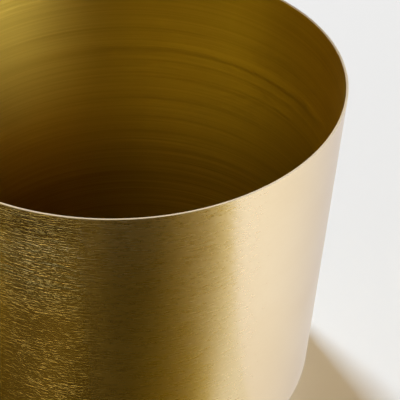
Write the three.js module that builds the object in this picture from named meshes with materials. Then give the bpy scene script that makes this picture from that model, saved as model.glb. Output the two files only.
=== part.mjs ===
// Round metal vase: a tapered wall of thin brushed sheet with a plain cut rim.
// The wall's lower edge is turned in to a flat foot ring, and a base plate drops in on it.
// Millimetres, +Z up. The origin is on the axis, on the surface that the vase stands on.

import * as THREE from "three";

// Driving dimensions of the wall
const rimDiameter = 150;
const footDiameter = 135;
const bodyHeight = 128;
const sheetThickness = 0.8;
const insideBendRadius = 9.2;
const footOpeningDiameter = 90;

// Driving dimensions of the base plate and the solder round it
const plateThickness = 1;
const solderWidth = 2.2;
const solderClearance = 0.1;
const plateEdgeMargin = 1;

// Driving dimensions of the felt pads under the foot ring
const padCount = 4;
const padDiameter = 11;
const padThickness = 2;
const firstPadAngle = Math.PI / 4;

// Fineness of the round faces
const turnSegments = 96;
const bendSegments = 6;
const filletSegments = 3;
const padSegments = 24;

// Places that follow from the sizes above
const footLevel = padThickness;
const rimLevel = footLevel + bodyHeight;
const rimRadius = rimDiameter / 2;
const footRadius = footDiameter / 2;
const footOpeningRadius = footOpeningDiameter / 2;
const outsideBendRadius = insideBendRadius + sheetThickness;
const taper = Math.atan2(rimRadius - footRadius, bodyHeight);
const rimWidth = sheetThickness / Math.cos(taper);
const bendCentreRadius = footRadius - (outsideBendRadius * (1 - Math.sin(taper))) / Math.cos(taper);
const bendCentreLevel = footLevel + outsideBendRadius;
const footRingTop = footLevel + sheetThickness;
const solderOuterRadius = bendCentreRadius - plateEdgeMargin;
const plateRadius = solderOuterRadius - solderWidth - solderClearance;
const plateTop = footRingTop + plateThickness;
const padCircleRadius = (footOpeningRadius + bendCentreRadius) / 2;

// Surface finishes
const brushedBrass = { color: 0xf1deb8, roughness: 0.34, metalness: 1 };
const plainBrass = { color: 0xb5935a, roughness: 0.45, metalness: 1 };
const softSolder = { color: 0x9a9c9b, roughness: 0.5, metalness: 1 };
const woolFelt = { color: 0x3a3632, roughness: 0.95, metalness: 0 };

// Points of an arc in the half plane of radius and height, both ends included
function arc(centreRadius, centreLevel, radius, startAngle, endAngle, segments) {
  return Array.from({ length: segments + 1 }, (_, i) => {
    const angle = startAngle + ((endAngle - startAngle) * i) / segments;
    return new THREE.Vector2(
      centreRadius + radius * Math.cos(angle),
      centreLevel + radius * Math.sin(angle),
    );
  });
}

// A ring or disc turned about +Z from an outline that runs anticlockwise in radius and height
function turned(name, outline, finish) {
  const geometry = new THREE.LatheGeometry(outline, turnSegments);
  geometry.rotateX(Math.PI / 2);
  const mesh = new THREE.Mesh(geometry, new THREE.MeshStandardMaterial(finish));
  mesh.name = name;
  return mesh;
}

// Wall, turned-in foot ring and cut rim, in one sheet of even thickness
function bodyShell() {
  const bend = (radius, startAngle, endAngle) =>
    arc(bendCentreRadius, bendCentreLevel, radius, startAngle, endAngle, bendSegments);
  const ringEdgeLow = new THREE.Vector2(footOpeningRadius, footLevel);
  const outline = [
    ringEdgeLow,
    ...bend(outsideBendRadius, -Math.PI / 2, -taper),
    new THREE.Vector2(rimRadius, rimLevel),
    new THREE.Vector2(rimRadius - rimWidth, rimLevel),
    ...bend(insideBendRadius, -taper, -Math.PI / 2),
    new THREE.Vector2(footOpeningRadius, footRingTop),
    ringEdgeLow.clone(),
  ];
  return turned("body_shell", outline, brushedBrass);
}

// Flat disc that lies on the foot ring and closes the vase
function basePlate() {
  const outline = [
    new THREE.Vector2(0, footRingTop),
    new THREE.Vector2(plateRadius, footRingTop),
    new THREE.Vector2(plateRadius, plateTop),
    new THREE.Vector2(0, plateTop),
  ];
  return turned("base_plate", outline, plainBrass);
}

// Hollow fillet of solder between the plate's edge and the foot ring
function baseSolder() {
  const innerRadius = plateRadius + solderClearance;
  const toe = new THREE.Vector2(innerRadius, footRingTop);
  const hollow = Array.from({ length: filletSegments + 1 }, (_, i) => {
    const angle = ((Math.PI / 2) * i) / filletSegments;
    return new THREE.Vector2(
      solderOuterRadius - solderWidth * Math.sin(angle),
      plateTop - plateThickness * Math.cos(angle),
    );
  });
  return turned("base_solder", [toe, ...hollow, toe.clone()], softSolder);
}

// Round felt pad stuck to the underside of the foot ring
function footPad(index) {
  const angle = firstPadAngle + (2 * Math.PI * index) / padCount;
  const geometry = new THREE.CylinderGeometry(
    padDiameter / 2,
    padDiameter / 2,
    padThickness,
    padSegments,
  );
  geometry.rotateX(Math.PI / 2);
  const mesh = new THREE.Mesh(geometry, new THREE.MeshStandardMaterial(woolFelt));
  mesh.name = `foot_pad_${index + 1}`;
  mesh.position.set(
    padCircleRadius * Math.cos(angle),
    padCircleRadius * Math.sin(angle),
    padThickness / 2,
  );
  return mesh;
}

const vase = new THREE.Group();
vase.add(bodyShell());
vase.add(basePlate());
vase.add(baseSolder());
for (let i = 0; i < padCount; i += 1) {
  vase.add(footPad(i));
}

export default vase;
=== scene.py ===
from math import atan2, cos, pi, radians, sin

import bpy
import numpy as np
from mathutils import Matrix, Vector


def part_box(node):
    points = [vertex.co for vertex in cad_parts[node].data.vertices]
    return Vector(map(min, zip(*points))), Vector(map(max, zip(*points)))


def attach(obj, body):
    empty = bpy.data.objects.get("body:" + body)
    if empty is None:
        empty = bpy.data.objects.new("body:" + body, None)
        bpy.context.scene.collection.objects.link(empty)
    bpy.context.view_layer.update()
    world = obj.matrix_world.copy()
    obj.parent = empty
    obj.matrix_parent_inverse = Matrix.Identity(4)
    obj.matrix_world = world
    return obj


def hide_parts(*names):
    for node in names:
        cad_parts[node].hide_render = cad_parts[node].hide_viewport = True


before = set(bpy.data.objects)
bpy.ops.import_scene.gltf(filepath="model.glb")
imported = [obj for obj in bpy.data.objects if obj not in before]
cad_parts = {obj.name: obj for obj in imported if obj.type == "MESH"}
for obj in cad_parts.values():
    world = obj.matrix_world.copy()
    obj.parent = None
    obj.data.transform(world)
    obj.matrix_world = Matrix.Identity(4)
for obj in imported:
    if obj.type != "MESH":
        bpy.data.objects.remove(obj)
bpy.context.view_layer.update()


# Camera: a long lens in front of the vase and above it, which looks down past the front of the rim.
# Its place follows from the rim's outline and from the turned rings inside the wall.
camera_place = (0.0265, -0.3739, 0.3767)
camera_pitch = radians(38.65)
camera_roll = radians(0.55)

camera_data = bpy.data.cameras.new("camera")
camera_data.lens = 121.5
camera_data.clip_start = 0.01
camera_data.clip_end = 50
camera = bpy.data.objects.new("camera", camera_data)
camera.matrix_world = (
    Matrix.Translation(camera_place)
    @ Matrix.Rotation(pi / 2 - camera_pitch, 4, "X")
    @ Matrix.Rotation(camera_roll, 4, "Z")
)
bpy.context.scene.collection.objects.link(camera)
bpy.context.scene.camera = camera
bpy.context.scene.view_settings.view_transform = "Standard"


# Wall: one sheet of brass, spun to a slight taper, with its lower edge turned in to a flat foot ring.
# The rim is cut plain and its edges are broken. The outside is brushed round and lacquered, and the
# inside keeps the rings that the spinning tool left.
foot_corner, rim_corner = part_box("body_shell")
rim_radius = rim_corner.x
rim_level = rim_corner.z
foot_level = foot_corner.z
foot_radius = 0.0675
sheet = 0.0008
bend_radius = 0.010
ring_opening = 0.045
edge_break = 0.00006
rim_slope = 0.00011
near_edge = 0.0004

taper = atan2(rim_radius - foot_radius, rim_level - foot_level)
bend_axis = foot_radius - bend_radius * (1 - sin(taper)) / cos(taper)
bend_level = foot_level + bend_radius
rim_inside = rim_radius - sheet / cos(taper)
ring_top = foot_level + sheet

wall_turns = 240
ring_rows = 6
outer_bend_rows = 16
inner_bend_rows = 14
outside_rows = 44
inside_rows = 230
corner_rows = 5


def arc(centre, radius, start, end, steps):
    """Points (radius, level) of an arc: the centre plus the arc's radius times the cosine and sine of
    an angle that runs evenly from start to end."""
    angle = np.linspace(start, end, steps)
    return np.column_stack([centre[0] + radius * np.cos(angle), centre[1] + radius * np.sin(angle)])


def straight(start, end, steps):
    """Points at even steps on the line from start to end, without its two ends."""
    share = np.linspace(0, 1, steps + 2)[1:-1, None]
    return np.array(start) * (1 - share) + np.array(end) * share


def rounded(corners, radius, first, last):
    """Points from the first to the last of these corners of a closed outline, each corner cut back
    along both its edges by radius and joined by a curve: the start, the corner and the end weighted
    (1-s)^2, 2s(1-s) and s^2, where s runs from 0 to 1."""
    corners = np.array(corners, float)
    before = np.roll(corners, 1, axis=0) - corners
    after = np.roll(corners, -1, axis=0) - corners
    start = corners + before * radius / np.linalg.norm(before, axis=1, keepdims=True)
    end = corners + after * radius / np.linalg.norm(after, axis=1, keepdims=True)
    s = np.linspace(0, 1, corner_rows)[None, :, None]
    points = start[:, None] * (1 - s) ** 2 + 2 * corners[:, None] * s * (1 - s) + end[:, None] * s**2
    return points[first:last + 1].reshape(-1, 2)


def turned(outline, turns, centre=(0, 0), swell=None):
    """A closed outline of points (radius, level) carried round an upright axis through centre: each
    point goes to (radius cos a, radius sin a, level) at evenly spaced angles a. swell(a, t) moves the
    point t of the outline out along the outline's own normal. Returns a grid: angle, point, xyz."""
    angle = np.linspace(0, 2 * pi, turns, endpoint=False)[:, None]
    along = np.roll(outline, -1, axis=0) - np.roll(outline, 1, axis=0)
    normal = np.column_stack([along[:, 1], -along[:, 0]]) / np.linalg.norm(along, axis=1, keepdims=True)
    out = 0 if swell is None else swell(angle, np.arange(len(outline))[None, :])
    radius = outline[None, :, 0] + out * normal[None, :, 0]
    level = outline[None, :, 1] + out * normal[None, :, 1] + 0 * angle
    return np.stack([centre[0] + radius * np.cos(angle), centre[1] + radius * np.sin(angle), level], axis=2)


def piece(name, grid, finishes, finish_of_row=None, closed=True):
    """A smooth mesh on a grid that closes round the first way, and round the second way too unless
    closed is False, when its two open rows lie on the axis and are merged to points."""
    turns, rows = grid.shape[:2]
    index = np.arange(turns * rows).reshape(turns, rows)
    ahead = np.roll(index, -1, axis=0)
    faces = np.stack([index, ahead, np.roll(ahead, -1, axis=1), np.roll(index, -1, axis=1)], axis=2)
    if closed:
        points = grid.reshape(-1, 3)
        faces = faces.reshape(-1, 4).tolist()
    else:
        keep = np.ones((turns, rows), bool)
        keep[1:, 0] = False
        keep[1:, -1] = False
        points = grid[keep]
        merged = (np.cumsum(keep.ravel()) - 1).reshape(turns, rows)
        merged[:, 0] = merged[0, 0]
        merged[:, -1] = merged[0, -1]
        faces = merged.ravel()[faces[:, :-1]]
        first = faces[:, 0][:, [1, 2, 3]]
        last = faces[:, -1][:, [0, 1, 3]]
        faces = faces[:, 1:-1].reshape(-1, 4).tolist() + first.tolist() + last.tolist()
    mesh = bpy.data.meshes.new(name)
    mesh.from_pydata(points.tolist(), [], faces)
    for finish in finishes:
        mesh.materials.append(finish)
    if finish_of_row is not None:
        mesh.polygons.foreach_set("material_index", np.tile(finish_of_row, turns).astype(np.int32))
    mesh.shade_smooth()
    made = bpy.data.objects.new(name, mesh)
    bpy.context.scene.collection.objects.link(made)
    return made


class Signal:
    """One output socket of a material's nodes. Arithmetic on signals and numbers adds Math nodes."""

    def __init__(self, tree, socket=None):
        self.tree = tree
        self.socket = socket

    def node(self, kind, settings=None, inputs=None, output=0):
        """Adds a node: first its settings, a ramp's stops among them, then each named or numbered
        input's value or link. Returns the signal of one output."""
        made = self.tree.nodes.new(kind)
        for name, value in (settings or {}).items():
            if name == "stops":
                while len(made.color_ramp.elements) < len(value):
                    made.color_ramp.elements.new(1)
                for element, (position, colour) in zip(made.color_ramp.elements, value):
                    element.position = position
                    element.color = (*colour, 1)
            else:
                setattr(made, name, value)
        for name, value in (inputs or {}).items():
            if isinstance(value, Signal):
                self.tree.links.new(value.socket, made.inputs[name])
            else:
                made.inputs[name].default_value = value
        return Signal(self.tree, made.outputs[output] if made.outputs else None)

    def math(self, operation, *values):
        """Adds a Math node on signals and numbers."""
        return self.node("ShaderNodeMath", {"operation": operation}, dict(enumerate(values)))

    def stretched(self, low, high):
        """The signal on a new scale, on which low becomes 0 and high becomes 1."""
        return self.node("ShaderNodeMapRange", {"clamp": False}, {
            "Value": self, "From Min": low, "From Max": high, "To Min": 0.0, "To Max": 1.0,
        }, "Result")

    def rise(self, zero_at, one_at):
        """A smooth step between two values of the signal, at which it is 0 and 1, and flat beyond them."""
        return self.node("ShaderNodeMapRange", {"interpolation_type": "SMOOTHSTEP"}, {
            "Value": self, "From Min": zero_at, "From Max": one_at, "To Min": 0.0, "To Max": 1.0,
        }, "Result")

    def __add__(self, other):
        return self.math("ADD", self, other)

    def __sub__(self, other):
        return self.math("SUBTRACT", self, other)

    def __rsub__(self, other):
        return self.math("SUBTRACT", other, self)

    def __mul__(self, other):
        return self.math("MULTIPLY", self, other)

    def __truediv__(self, other):
        return self.math("DIVIDE", self, other)

    def __pow__(self, other):
        return self.math("POWER", self, other)

    __radd__ = __add__
    __rmul__ = __mul__


def new_finish(name):
    """An empty material and the signal that its nodes are added with."""
    material = bpy.data.materials.new(name)
    material.use_nodes = True
    material.node_tree.nodes.clear()
    return material, Signal(material.node_tree)


def finish_shader(start, surface):
    """Ends a material with its surface shader."""
    start.node("ShaderNodeOutputMaterial", {}, {"Surface": surface})


class Lathe:
    """Coordinates of a turned surface: the direction from the axis, and the distance along the
    outline, which is the level less the radius, so that it runs up a wall and in across a floor."""

    noise_low = 0.22
    noise_high = 0.78

    def __init__(self, start):
        self.start = start
        place = start.node("ShaderNodeTexCoord", {}, {}, "Object")
        self.x, self.y, self.level = (
            start.node("ShaderNodeSeparateXYZ", {}, {0: place}, axis) for axis in "XYZ"
        )
        self.radius = (self.x * self.x + self.y * self.y) ** 0.5
        self.along = self.level - self.radius

    def marks(self, length, width, shift, spread=rim_radius, bend=0.0):
        """Noise in strokes that run round the axis, of this length and width in metres at the radius
        spread, with its usual range stretched to 0 to 1. shift picks another part of the noise, and bend
        moves the strokes along the outline by a signal in metres, so that they cross at small angles."""
        turn = spread / length
        where = self.start.node("ShaderNodeCombineXYZ", {}, {
            "X": self.x / self.radius * turn + shift,
            "Y": self.y / self.radius * turn,
            "Z": (self.along + bend) / width,
        })
        noise = self.start.node("ShaderNodeTexNoise", {}, {
            "Vector": where, "Scale": 1.0, "Detail": 1.0, "Roughness": 0.55,
        }, "Fac")
        return noise.stretched(self.noise_low, self.noise_high)


def mixed(start, share, first, second):
    """The colour between two plain colours, the second of them at a share of 1."""
    return start.node("ShaderNodeMix", {"data_type": "RGBA"}, {0: share, 6: (*first, 1), 7: (*second, 1)}, 2)


def tinted(start, share, colour, tint):
    """The colour multiplied by a tint, in full at a share of 1 and not at all at 0."""
    multiply = {"data_type": "RGBA", "blend_type": "MULTIPLY"}
    return start.node("ShaderNodeMix", multiply, {0: share, 6: colour, 7: (*tint, 1)}, 2)


def bumped(start, height, depth):
    """The surface's normal with a relief of this height signal, whose range of 0 to 1 is depth metres."""
    return start.node("ShaderNodeBump", {}, {"Strength": 1.0, "Distance": depth, "Height": height})


def metal(start, colour, roughness, normal, anisotropy, coat=0.0):
    """A polished or brushed metal. The brush marks run round the axis, so the gloss is drawn out
    across them, a quarter turn from the direction round the axis."""
    return start.node("ShaderNodeBsdfPrincipled", {}, {
        "Base Color": colour,
        "Metallic": 1.0,
        "Roughness": roughness,
        "Normal": normal,
        "Anisotropic": anisotropy,
        "Anisotropic Rotation": 0.25,
        "Specular Tint": (0.70, 0.73, 0.88, 1),
        "Coat Weight": coat,
        "Coat Roughness": 0.25,
    })


brass_light = (0.92, 0.78, 0.53)
brass_dark = (0.87, 0.71, 0.45)
# The bluish tint is a painted reflection, laid on the long strokes high up the left front.
bluish_reflection_tint = (0.78, 0.92, 1.62)
# The dark tint is painted shade, just below the rim on the left front.
rim_shade_tint = (0.70, 0.66, 0.56)
worn_and_painted_side = radians(244)
worn_and_painted_facing = (0.913, 0.970)
calm_facing = (0.50, 0.70)
bluish_reflection_levels = (rim_level - 0.047, rim_level - 0.027)
rim_shade_levels = (rim_level - 0.0125, rim_level - 0.008)
stroke_depth = 0.00030


def brushed_outside():
    """Brushed brass under thin lacquer: short strokes round the wall that cross at small angles, with
    longer ones between. They are deep on a part of the left front and shallow on the right; on that
    part a bluish reflection is painted on the long strokes up the wall, and shade just below the rim.
    A raised stroke is duller than the metal beside it. facing is the cosine of the angle from its middle."""
    material, start = new_finish("brushed_brass_outside")
    lathe = Lathe(start)
    sway = lathe.marks(0.030, 0.012, 47.0)
    fine = lathe.marks(0.0028, 0.00036, 3.0, bend=sway * 0.0030)
    short = lathe.marks(0.0042, 0.00048, 11.0, bend=sway * -0.0030)
    long = lathe.marks(0.010, 0.00075, 23.0, bend=sway * 0.0018)
    cloud = lathe.marks(0.030, 0.020, 31.0)
    facing = (lathe.x * cos(worn_and_painted_side) + lathe.y * sin(worn_and_painted_side)) / lathe.radius
    worn_and_painted = facing.rise(*worn_and_painted_facing)
    calm = (lathe.x / lathe.radius).rise(*calm_facing)
    height = fine * 0.42 + short * 0.34 + long * 0.24
    normal = bumped(start, height * (0.31 + worn_and_painted * (0.32 + cloud * 0.42) - calm * 0.25), stroke_depth)
    colour = mixed(start, height * 0.4 + cloud * 0.6, brass_dark, brass_light)
    # Painted bluish reflection on the long strokes high up the left front.
    colour = tinted(start, worn_and_painted * lathe.level.rise(*bluish_reflection_levels) * long, colour, bluish_reflection_tint)
    # Painted shade just below the rim on the left front.
    colour = tinted(start, worn_and_painted * lathe.level.rise(*rim_shade_levels), colour, rim_shade_tint)
    roughness = 0.21 + height * (0.16 - calm * 0.12) - worn_and_painted * (0.04 + height * 0.06) + calm * 0.06
    finish_shader(start, metal(start, colour, roughness, normal, 0.88, coat=0.03))
    return material


inside_light = (0.88, 0.714, 0.158)
inside_dark = (0.64, 0.490, 0.082)
# The dark tint is painted shade inside the wall.
painted_shade_tint = (0.25, 0.215, 0.17)
low_levels = (rim_level - 0.058, rim_level - 0.105)
high_levels = (rim_level - 0.045, rim_level - 0.012)
tool_mark_depth = 0.000017


def turned_inside():
    """Bare brass inside the wall, with the broad and fine rings of the spinning tool, which stand out
    more low down. Shade is painted on it low down, most on the left, and a little below the rim at the
    back right and the front left, where x times y is positive."""
    material, start = new_finish("turned_brass_inside")
    lathe = Lathe(start)
    broad = lathe.marks(0.30, 0.005, 5.0)
    narrow = lathe.marks(0.25, 0.0012, 17.0)
    fine = lathe.marks(0.060, 0.0006, 29.0)
    stain = lathe.marks(0.050, 0.040, 41.0)
    normal = bumped(start, broad * 0.1 + narrow * 0.4 + fine * 0.5, tool_mark_depth)
    low_down = lathe.level.rise(*low_levels)
    high_up = lathe.level.rise(*high_levels)
    left = start.math("MAXIMUM", 0.47 - lathe.x / lathe.radius * 0.70, 0.0)
    back_right = start.math("MAXIMUM", lathe.x * lathe.y / lathe.radius / lathe.radius, 0.0)
    tone = broad * 0.20 + narrow * 0.30 + fine * 0.34 + stain * 0.16
    tone = (tone - 0.5) * (1.0 + low_down * 1.2) + 0.5
    colour = mixed(start, tone, inside_dark, inside_light)
    # Painted shade: darker low down, most on the left, and a little below the rim at the back right and
    # front left.
    colour = tinted(start, low_down * left + high_up * back_right * 0.6, colour, painted_shade_tint)
    finish_shader(start, metal(start, colour, 0.355 + narrow * 0.09, normal, 0.75))
    return material


cut_light = (0.99, 0.86, 0.63)
cut_dark = (0.86, 0.71, 0.48)
file_mark_depth = 0.00001


def cut_rim():
    """The bright cut edge of the sheet, smoothed with fine abrasive."""
    material, start = new_finish("cut_brass_rim")
    fine = Lathe(start).marks(0.004, 0.0002, 7.0)
    normal = bumped(start, fine, file_mark_depth)
    colour = mixed(start, fine, cut_dark, cut_light)
    finish_shader(start, metal(start, colour, 0.28 + fine * 0.1, normal, 0.3))
    return material


# Outline of the wall: out along the underside of the foot ring, up the outside, over the lip, down the
# inside, and back to the ring's opening. The lip slopes in a little.
bend = (bend_axis, bend_level)
outer_wall_foot = arc(bend, bend_radius, -taper, -taper, 1)[0]
inner_wall_foot = arc(bend, bend_radius - sheet, -taper, -taper, 1)[0]
lip = rounded(
    [outer_wall_foot, (rim_radius, rim_level), (rim_inside, rim_level - rim_slope), inner_wall_foot],
    edge_break, first=1, last=2,
)
lip_outside = lip[0] - (near_edge * sin(taper), near_edge * cos(taper))
lip_inside = lip[-1] - (near_edge * sin(taper), near_edge * cos(taper))
opening_edge = rounded(
    [(bend_axis, foot_level), (bend_axis, ring_top), (ring_opening, ring_top), (ring_opening, foot_level)],
    edge_break, first=2, last=3,
)
outer_side = [
    straight((ring_opening + edge_break, foot_level), (bend_axis, foot_level), ring_rows),
    arc(bend, bend_radius, -pi / 2, -taper, outer_bend_rows),
    straight(outer_wall_foot, lip_outside, outside_rows),
    [lip_outside],
]
inner_side = [
    [lip_inside],
    straight(lip_inside, inner_wall_foot, inside_rows),
    arc(bend, bend_radius - sheet, -taper, -pi / 2, inner_bend_rows),
    straight((bend_axis, ring_top), (ring_opening + edge_break, ring_top), ring_rows),
]
wall_outline = np.vstack([*outer_side, lip, *inner_side, opening_edge])
outside_end = sum(len(part) for part in outer_side)
rim_end = outside_end + len(lip) - 1

groove_depths = (0.020, 0.039, 0.0445, 0.059, 0.074, 0.082, 0.096)
groove_width = 0.0016
groove_relief = 0.0000028
ripples = ((0.0071, 0.20e-5, 0.3), (0.0043, 0.14e-5, 1.9), (0.0027, 0.10e-5, 4.1))
ripple_sway = 0.6
fade_below_rim = 0.004
fade_above_bend = 0.010


def tool_rings(angle, point):
    """Relief of the inside wall: shallow grooves at some depths below the rim, each a bell curve, and
    a fine ripple made of sines, each with a wavelength, a height and a phase. It fades out at the rim
    and at the bend, and the rest of the outline has none."""
    level = wall_outline[:, 1][point]
    depth = rim_level - level
    relief = sum(-groove_relief * np.exp(-(((depth - d) / groove_width) ** 2)) for d in groove_depths)
    for wavelength, height, phase in ripples:
        relief = relief + height * np.sin(2 * pi * depth / wavelength + phase + ripple_sway * np.sin(angle))
    fade = np.clip(depth / fade_below_rim, 0, 1) * np.clip((level - bend_level) / fade_above_bend, 0, 1)
    return np.where(point > rim_end, relief * fade, 0) + 0 * angle


row = np.arange(len(wall_outline))
wall = piece(
    "vase_wall",
    turned(wall_outline, wall_turns, swell=tool_rings),
    [brushed_outside(), cut_rim(), turned_inside()],
    np.select([row < outside_end, row < rim_end], [0, 1], 2),
)
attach(wall, "root")
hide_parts("body_shell")


# Base plate: a disc of plain brass sheet, cut out on the lathe, that lies on the foot ring inside and
# closes the vase. It shows from above through the mouth and from below through the ring.
plate_low, plate_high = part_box("base_plate")
plate_edge_break = 0.0002
plate_turns = 192
plate_rows = 8
plate_light = (0.66, 0.47, 0.20)
plate_dark = (0.44, 0.28, 0.10)
facing_radius = 0.04
scratch_depth = 0.00002


def disc_outline(radius, low, high, rounding, low_rows, high_rows):
    """Outline of a flat disc: out from the axis below, round its edge, and in to the axis above."""
    corners = [(0, low), (radius, low), (radius, high), (0, high)]
    return np.vstack([
        corners[:1],
        straight(corners[0], corners[1], low_rows),
        rounded(corners, rounding, first=1, last=2),
        straight(corners[2], corners[3], high_rows),
        corners[3:],
    ])


def speckle(start, scale, detail, distortion=0.0):
    """Noise that is alike in all directions, with about this many speckles to a metre."""
    place = start.node("ShaderNodeTexCoord", {}, {}, "Object")
    return start.node("ShaderNodeTexNoise", {}, {
        "Vector": place, "Scale": scale, "Detail": detail, "Distortion": distortion,
    }, "Fac")


def plain_brass():
    """Sheet brass as it comes from the mill, with faint facing marks round the middle and stains."""
    material, start = new_finish("plain_brass_plate")
    lathe = Lathe(start)
    facing = lathe.marks(0.10, 0.0009, 2.0, spread=facing_radius)
    scratch = lathe.marks(0.010, 0.0004, 13.0, spread=facing_radius)
    stain = speckle(start, 60.0, 4.0)
    height = facing * 0.6 + scratch * 0.4
    colour = mixed(start, stain * 0.6 + height * 0.4, plate_dark, plate_light)
    normal = bumped(start, height, scratch_depth)
    finish_shader(start, metal(start, colour, 0.36 + stain * 0.2, normal, 0.5))
    return material


plate_outline = disc_outline(
    plate_high.x, plate_low.z, plate_high.z, plate_edge_break, plate_rows, plate_rows,
)
plate = piece("floor_plate", turned(plate_outline, plate_turns), [plain_brass()], closed=False)
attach(plate, "root")
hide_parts("base_plate")


# Solder: a hollow fillet of soft solder run round the edge of the plate, which holds it and seals it.
# It set in small ripples and is duller than the brass.
solder_low, solder_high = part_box("base_solder")
solder_clearance = 0.0001
solder_inside = plate_high.x + solder_clearance
solder_turns = 240
hollow_rows = 9
flat_rows = 3
ripple_depth = 0.00006
ripple_counts = (9, 23, 41, 77)
solder_light = (0.46, 0.46, 0.45)
solder_dark = (0.26, 0.26, 0.26)
solder_grain_depth = 0.00005


def fillet_outline():
    """Up from the foot ring beside the wall along the hollow, a quarter circle seen from its hollow
    side: outer radius less the width times sin a, top less the height times cos a. Then down beside
    the plate and out along the ring."""
    a = np.linspace(0, pi / 2, hollow_rows)
    width = solder_high.x - solder_inside
    height = solder_high.z - solder_low.z
    hollow = np.column_stack([solder_high.x - width * np.sin(a), solder_high.z - height * np.cos(a)])
    back = straight((solder_inside, solder_high.z), (solder_inside, solder_low.z), flat_rows)
    base = straight((solder_inside, solder_low.z), (solder_high.x, solder_low.z), flat_rows)
    return np.vstack([hollow, back, [(solder_inside, solder_low.z)], base])


def set_ripples(angle, point):
    """Ripple of the hollow face: sines of several whole numbers of waves round the axis, strongest in
    the middle of the face."""
    wave = sum(np.sin(n * angle + n * n) for n in ripple_counts) / len(ripple_counts)
    face = np.clip(np.sin(np.clip(point / (hollow_rows - 1), 0, 1) * pi), 0, 1)
    return -ripple_depth * (1 + wave) * face


def soft_solder():
    """Dull grey tin alloy, with blotches and a faint grain."""
    material, start = new_finish("soft_solder")
    blotch = speckle(start, 300.0, 3.0)
    grain = speckle(start, 2500.0, 2.0)
    normal = bumped(start, blotch * 0.7 + grain * 0.3, solder_grain_depth)
    colour = mixed(start, blotch, solder_dark, solder_light)
    finish_shader(start, metal(start, colour, 0.45 + grain * 0.2, normal, 0.0))
    return material


solder = piece("solder_fillet", turned(fillet_outline(), solder_turns, swell=set_ripples), [soft_solder()])
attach(solder, "root")
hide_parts("base_solder")


# Felt pads: four round pads punched from dark pressed wool felt, stuck to the underside of the foot
# ring. They keep the metal off the table.
pad_rounding = 0.0005
pad_turns = 72
pad_low_rows = 5
pad_high_rows = 3
nap_depth = 0.00003
felt_light = (0.075, 0.066, 0.058)
felt_dark = (0.020, 0.017, 0.014)
fibre_depth = 0.0003


def wool_felt():
    """Pressed wool: a matted nap with darker gaps between the fibres, and a soft sheen."""
    material, start = new_finish("wool_felt")
    fibre = speckle(start, 2200.0, 4.0, distortion=1.5)
    mat = speckle(start, 500.0, 3.0)
    height = fibre * 0.7 + mat * 0.3
    finish_shader(start, start.node("ShaderNodeBsdfPrincipled", {}, {
        "Base Color": mixed(start, height, felt_dark, felt_light),
        "Roughness": 0.95,
        "Normal": bumped(start, height, fibre_depth),
        "Sheen Weight": 0.4,
        "Sheen Roughness": 0.5,
    }))
    return material


def nap(angle, point):
    """Unevenness of the felt's face: sines of 7 and 13 waves round the pad, shifted across it."""
    across = point * 0.9
    return -nap_depth * (1 + np.sin(7 * angle + across) * np.sin(13 * angle - 2 * across))


felt = wool_felt()
for number in (1, 2, 3, 4):
    pad_low, pad_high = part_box(f"foot_pad_{number}")
    pad_radius = (pad_high.x - pad_low.x) / 2
    pad_centre = ((pad_low.x + pad_high.x) / 2, (pad_low.y + pad_high.y) / 2)
    pad_outline = disc_outline(pad_radius, pad_low.z, pad_high.z, pad_rounding, pad_low_rows, pad_high_rows)
    pad = piece(f"felt_pad_{number}", turned(pad_outline, pad_turns, pad_centre, nap), [felt], closed=False)
    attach(pad, "root")
    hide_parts(f"foot_pad_{number}")


# Floor: a plain pale sheet that the vase stands on and throws its shadow on. The metal mirrors it
# mostly as a plain pale glow, so that the ground stays pale in it.
floor_half = 4.0
floor_light = (0.88, 0.88, 0.88)
floor_dark = (0.85, 0.85, 0.85)
floor_glow = (1.0, 0.965, 0.95)
glow_share = 0.85


def pale_floor():
    """Matt pale paper with a trace of unevenness. In the metal most of what it sends is a plain glow."""
    material, start = new_finish("pale_floor")
    colour = mixed(start, speckle(start, 3.0, 2.0), floor_dark, floor_light)
    mirrored = start.node("ShaderNodeLightPath", {}, {}, "Is Glossy Ray")
    paper = start.node("ShaderNodeBsdfPrincipled", {}, {
        "Base Color": colour, "Roughness": 0.9, "Specular IOR Level": 0.1,
    })
    glowing = start.node("ShaderNodeEmission", {}, {"Color": (*floor_glow, 1), "Strength": 1.0})
    share = mirrored * glow_share
    finish_shader(start, start.node("ShaderNodeMixShader", {}, {0: share, 1: paper, 2: glowing}))
    return material


floor_corners = [(x * floor_half, y * floor_half, 0) for x, y in ((-1, -1), (1, -1), (1, 1), (-1, 1))]
floor_mesh = bpy.data.meshes.new("floor")
floor_mesh.from_pydata(floor_corners, [], [(0, 1, 2, 3)])
floor_mesh.materials.append(pale_floor())
floor = bpy.data.objects.new("floor", floor_mesh)
bpy.context.scene.collection.objects.link(floor)


# Card: a glowing sheet just above the floor in front of the vase, pale at its ends and dark brown in
# its middle. Only the metal mirrors it: it paints a dark brown and tan reflection into the metal.
card_start = radians(190)
card_end = radians(322)
card_near = 0.055
card_far = 1.6
card_level = 0.001
card_lean = 3.5
card_lean_reach = 0.165
card_glow = 0.88
card_colours = [
    (0.00, (0.60, 0.44, 0.10)),
    (0.10, (0.30, 0.20, 0.02)),
    (0.27, (0.075, 0.043, 0.002)),
    (0.38, (0.072, 0.042, 0.002)),
    (0.47, (0.110, 0.065, 0.004)),
    (0.545, (0.065, 0.038, 0.001)),
    (0.60, (0.038, 0.023, 0.001)),
    (0.72, (0.058, 0.036, 0.001)),
    (0.885, (0.240, 0.150, 0.004)),
    (0.942, (0.45, 0.33, 0.05)),
    (0.975, (0.72, 0.58, 0.14)),
    (1.00, (0.95, 0.90, 0.75)),
]


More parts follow.
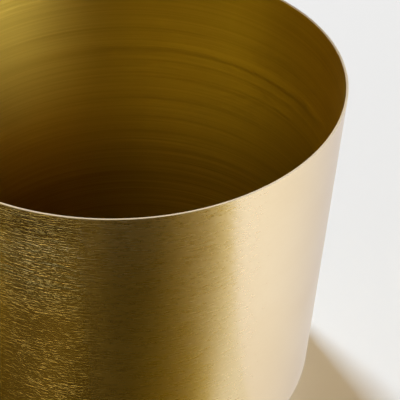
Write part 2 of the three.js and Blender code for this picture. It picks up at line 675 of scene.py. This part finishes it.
def fan(name, start, end, inner, outer, finish, steps=40):
    """A ring sector: two points (radius, level) carried through evenly spaced angles. The camera
    doesn't see it, and it neither lights anything nor throws a shadow."""
    angle = np.linspace(start, end, steps)
    edges = [
        np.column_stack([radius * np.cos(angle), radius * np.sin(angle), 0 * angle + level])
        for radius, level in (inner, outer)
    ]
    index = np.arange(steps)
    faces = np.column_stack([index[:-1], index[:-1] + steps, index[1:] + steps, index[1:]])
    mesh = bpy.data.meshes.new(name)
    mesh.from_pydata(np.vstack(edges).tolist(), [], faces.tolist())
    mesh.materials.append(finish)
    made = bpy.data.objects.new(name, mesh)
    made.visible_camera = False
    made.visible_diffuse = False
    made.visible_shadow = False
    bpy.context.scene.collection.objects.link(made)


def azimuth(start, lathe):
    """The angle round the axis from +X, counted so that its jump lies behind the vase."""
    return start.math("ARCTAN2", lathe.x, -1.0 * lathe.y) + 1.5 * pi


def painted_reflection_card():
    """The colours of the painted reflection round the vase, by the angle from the card's left end to its
    right end. Near the vase they lean to the left, by the distance inside the lean's reach times the lean."""
    material, start = new_finish("painted_reflection_card")
    lathe = Lathe(start)
    lean = start.math("MAXIMUM", card_lean_reach - lathe.radius, 0.0) * card_lean
    share = (azimuth(start, lathe) + lean - card_start) / (card_end - card_start)
    # The ramp gives the painted reflection its dark brown middle and tan ends.
    colour = start.node("ShaderNodeValToRGB", {"stops": card_colours}, {"Fac": share}, "Color")
    finish_shader(start, start.node("ShaderNodeEmission", {}, {"Color": colour, "Strength": card_glow}))
    return material


fan("card", card_start, card_end, (card_near, card_level), (card_far, card_level), painted_reflection_card())


# Strip: a low curved light that stands on the floor at the left, in front of the vase. It makes the
# brush marks that face it sparkle. Only the metal mirrors it.
strip_middle = radians(233)
strip_spread = radians(60)
strip_width = radians(23)
strip_distance = 0.45
strip_height = 0.09
strip_glow = 1.9
strip_colour = (1.0, 0.83, 0.30)


def strip_light():
    """A warm glow, strongest in the middle: a bell curve of the angle from it."""
    material, start = new_finish("strip_light")
    aside = (azimuth(start, Lathe(start)) - strip_middle) / strip_width
    bell = start.math("EXPONENT", -1.0 * aside * aside)
    colour = mixed(start, bell, (0, 0, 0), strip_colour)
    finish_shader(start, start.node("ShaderNodeEmission", {}, {"Color": colour, "Strength": strip_glow}))
    return material


fan("strip", strip_middle - strip_spread, strip_middle + strip_spread,
    (strip_distance, 0.0), (strip_distance, strip_height), strip_light())


# Light: one cool lamp high up behind the vase on the left, which throws its shadow, and a dim warm
# fill from all round. The metal mirrors neither, but a dark room with soft glows on its walls.
key_side = radians(115)
key_height = radians(63)
key_distance = 4.0

key_data = bpy.data.lights.new("key", "AREA")
key_data.shape = "SQUARE"
key_data.size = 0.45
key_data.energy = 132
key_data.color = (0.69, 0.84, 1.0)
key = bpy.data.objects.new("key", key_data)
key.matrix_world = (
    Matrix.Rotation(key_side, 4, "Z")
    @ Matrix.Rotation(pi / 2 - key_height, 4, "Y")
    @ Matrix.Translation((0, 0, key_distance))
)
key.visible_glossy = False
bpy.context.scene.collection.objects.link(key)

fill_colour = (0.435, 0.315, 0.185)
backdrop_colour = (0.87, 0.87, 0.87)
white_glows = ((0.42, 0.13, 52, 6, 2.6), (0.18, 0.22, 340, 18, 4.2), (0.25, 0.35, 10, 8, 0.7),
               (0.36, 0.13, 96, 25, 0.7))
warm_glows = ((0.50, 0.16, 212, 3, 2.4),)
amber_glows = ((0.36, 0.10, 326, 18, 3.6),)
room_glows = (
    ((1.0, 1.0, 1.0), white_glows),
    ((1.0, 0.63, 0.08), warm_glows),
    ((1.0, 0.80, 0.42), amber_glows),
)


def studio():
    """The room by direction, as the metal mirrors it, with the fill for all else and the backdrop for
    the camera. Each glow has a middle and a width of its height, a side in degrees, a power and a
    strength: the bell curve exp(-((z - middle) / width)^2) times ((1 + cos(a - side)) / 2)^power round
    the horizon, times the strength."""
    world = bpy.data.worlds.new("studio")
    world.use_nodes = True
    world.node_tree.nodes.clear()
    start = Signal(world.node_tree)
    way = start.node("ShaderNodeTexCoord", {}, {}, "Generated")
    x, y, z = (start.node("ShaderNodeSeparateXYZ", {}, {0: way}, axis) for axis in "XYZ")
    level = (1.0001 - z * z) ** 0.5

    def glow(middle, width, side, power, strength):
        aside = (z - middle) / width
        height = start.math("EXPONENT", -1.0 * aside * aside)
        round_horizon = (x * cos(radians(side)) + y * sin(radians(side))) / level * 0.5 + 0.5
        return height * round_horizon ** power * strength

    def background(colour, strength=1.0):
        return start.node("ShaderNodeBackground", {}, {"Color": (*colour, 1), "Strength": strength})

    white, warm, amber = (background(colour, sum(glow(*g) for g in glows)) for colour, glows in room_glows)
    room = start.node("ShaderNodeAddShader", {}, {0: white, 1: warm})
    room = start.node("ShaderNodeAddShader", {}, {0: room, 1: amber})
    seen = start.node("ShaderNodeLightPath", {}, {}, "Is Camera Ray")
    mirrored = start.node("ShaderNodeLightPath", {}, {}, "Is Glossy Ray")
    light = start.node("ShaderNodeMixShader", {}, {0: mirrored, 1: background(fill_colour), 2: room})
    view = start.node("ShaderNodeMixShader", {}, {0: seen, 1: light, 2: background(backdrop_colour)})
    start.node("ShaderNodeOutputWorld", {}, {"Surface": view})
    return world


bpy.context.scene.world = studio()
